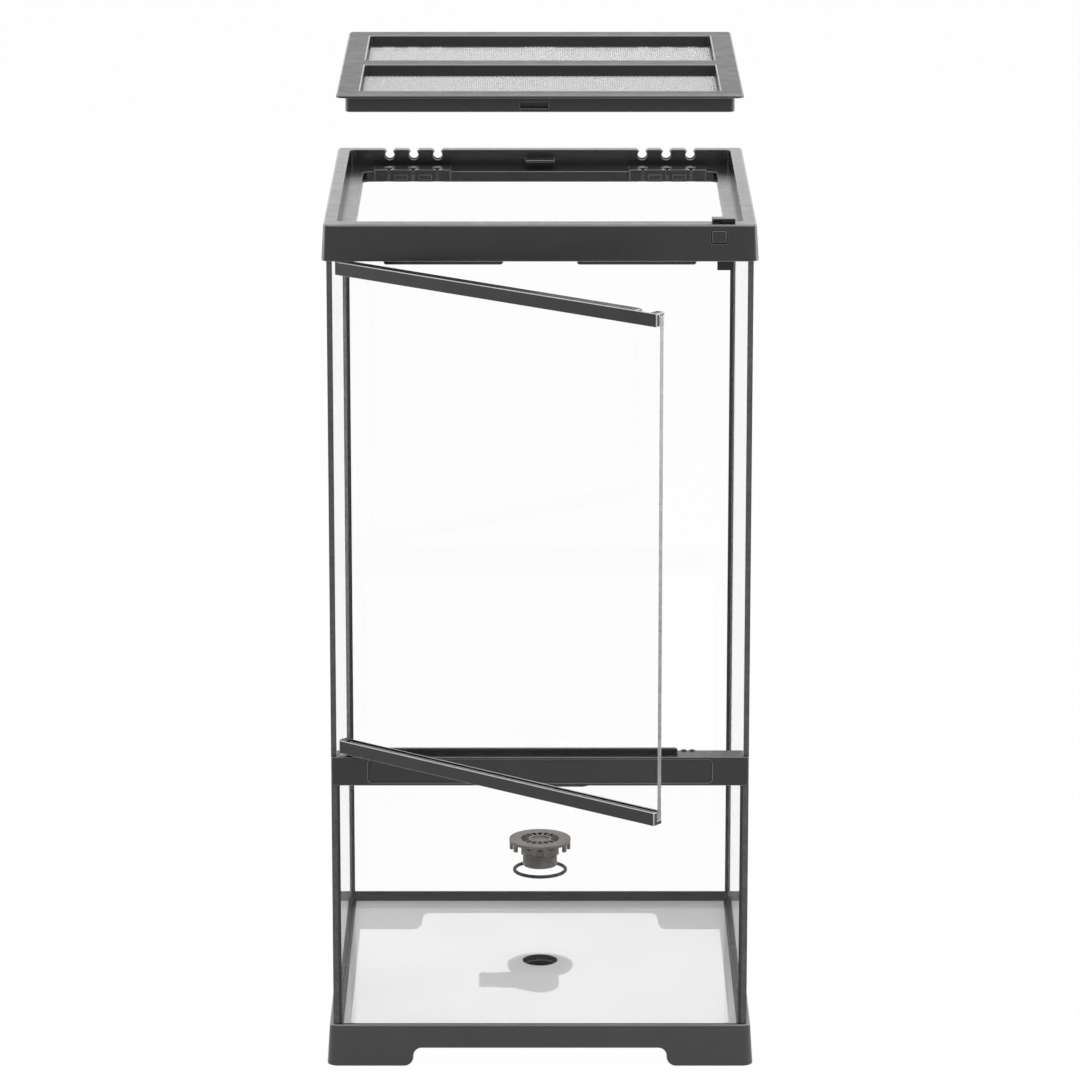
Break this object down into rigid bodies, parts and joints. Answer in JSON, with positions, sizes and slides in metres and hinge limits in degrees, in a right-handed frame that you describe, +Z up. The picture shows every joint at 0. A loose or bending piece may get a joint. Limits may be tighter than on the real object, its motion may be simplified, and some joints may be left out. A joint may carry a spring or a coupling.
{
  "type": "reptile terrarium",
  "caption": "Tall glass terrarium in moulded frames, with a side-hung glass door, push-button latch, lift-off screen lid, cable inlets and a floor drain.",
  "frame": {"origin": "on the floor under the middle of the glass box", "axes": "+Z up, +X to the right seen from the front, +Y towards the back; the door is at the front, on -Y"},
  "size_m": [0.3098, 0.4829, 0.7116],
  "materials": {
    "charcoal_plastic": "satin, fine moulded grain",
    "clear_glass": "clear float glass with seamed edges",
    "black_silicone": "cured black silicone sealant",
    "black_rubber": "matte moulded rubber",
    "drain_plastic": "satin brown-grey plastic",
    "black_plastic": "satin black",
    "natural_nylon": "translucent natural",
    "steel": "ground steel",
    "screen_mesh": "woven stainless wire"
  },
  "bodies": {
    "tank": {"bottom_frame": "charcoal_plastic", "base_glass": "clear_glass", "left_glass": "clear_glass", "right_glass": "clear_glass", "rear_glass": "clear_glass", "front_glass": "clear_glass", "corner_seams": "black_silicone", "base_seam": "black_silicone", "cross_rail": "charcoal_plastic", "cross_rail_cover": "charcoal_plastic", "top_frame": "charcoal_plastic", "upper_hinge_bush": "natural_nylon", "lower_hinge_bush": "natural_nylon", "drain_body": "drain_plastic", "drain_gasket": "black_rubber"},
    "door": {"door_glass": "clear_glass", "door_top_rail": "charcoal_plastic", "door_bottom_rail": "charcoal_plastic", "upper_hinge_pin": "steel", "lower_hinge_pin": "steel"},
    "lid": {"lid_frame": "charcoal_plastic", "front_screen": "screen_mesh", "rear_screen": "screen_mesh"},
    "strainer": {"drain_strainer": "drain_plastic"},
    "o_ring": {"strainer_o_ring": "black_rubber"},
    "button": {"latch_button": "charcoal_plastic"},
    "catch": {"latch_catch": "black_plastic", "catch_spring": "steel"},
    "lock": {"lock_slider": "black_plastic"},
    "left_gate": {"left_inlet_gate": "charcoal_plastic"},
    "right_gate": {"right_inlet_gate": "charcoal_plastic"}
  },
  "joints": [
    {"name": "door_swing", "type": "hinge", "parent": "tank", "child": "door", "pos_m": [-0.141, -0.148, 0.416], "axis": [0, 0, -1], "range_deg": [-38.5, 56.5]},
    {"name": "lid_lift", "type": "slide", "parent": "tank", "child": "lid", "axis": [0, 0, 1], "range_m": [-0.088, 0.06]},
    {"name": "strainer_lift", "type": "slide", "parent": "tank", "child": "strainer", "axis": [0, 0, 1], "range_m": [-0.089, 0.06]},
    {"name": "o_ring_lift", "type": "slide", "parent": "tank", "child": "o_ring", "axis": [0, 0, 1], "range_m": [-0.07031, 0.0474]},
    {"name": "latch_push", "type": "slide", "parent": "tank", "child": "button", "axis": [0, 1, 0], "range_m": [0, 0.003], "stiffness_N_per_m": 300, "springref_m": -0.002},
    {"name": "catch_lift", "type": "slide", "parent": "tank", "child": "catch", "axis": [0, 0, 1], "range_m": [0, 0.004], "deforming": ["catch_spring"]},
    {"name": "lock_slide", "type": "slide", "parent": "tank", "child": "lock", "axis": [1, 0, 0], "range_m": [-0.0055, 0]},
    {"name": "left_gate_slide", "type": "slide", "parent": "tank", "child": "left_gate", "axis": [1, 0, 0], "range_m": [0, 0.009]},
    {"name": "right_gate_slide", "type": "slide", "parent": "tank", "child": "right_gate", "axis": [-1, 0, 0], "range_m": [0, 0.009]}
  ],
  "couplings": [
    {"joint": "o_ring_lift", "follows": "strainer_lift", "ratio": 0.79},
    {"joint": "catch_lift", "follows": "latch_push", "ratio": 1.3333}
  ]
}
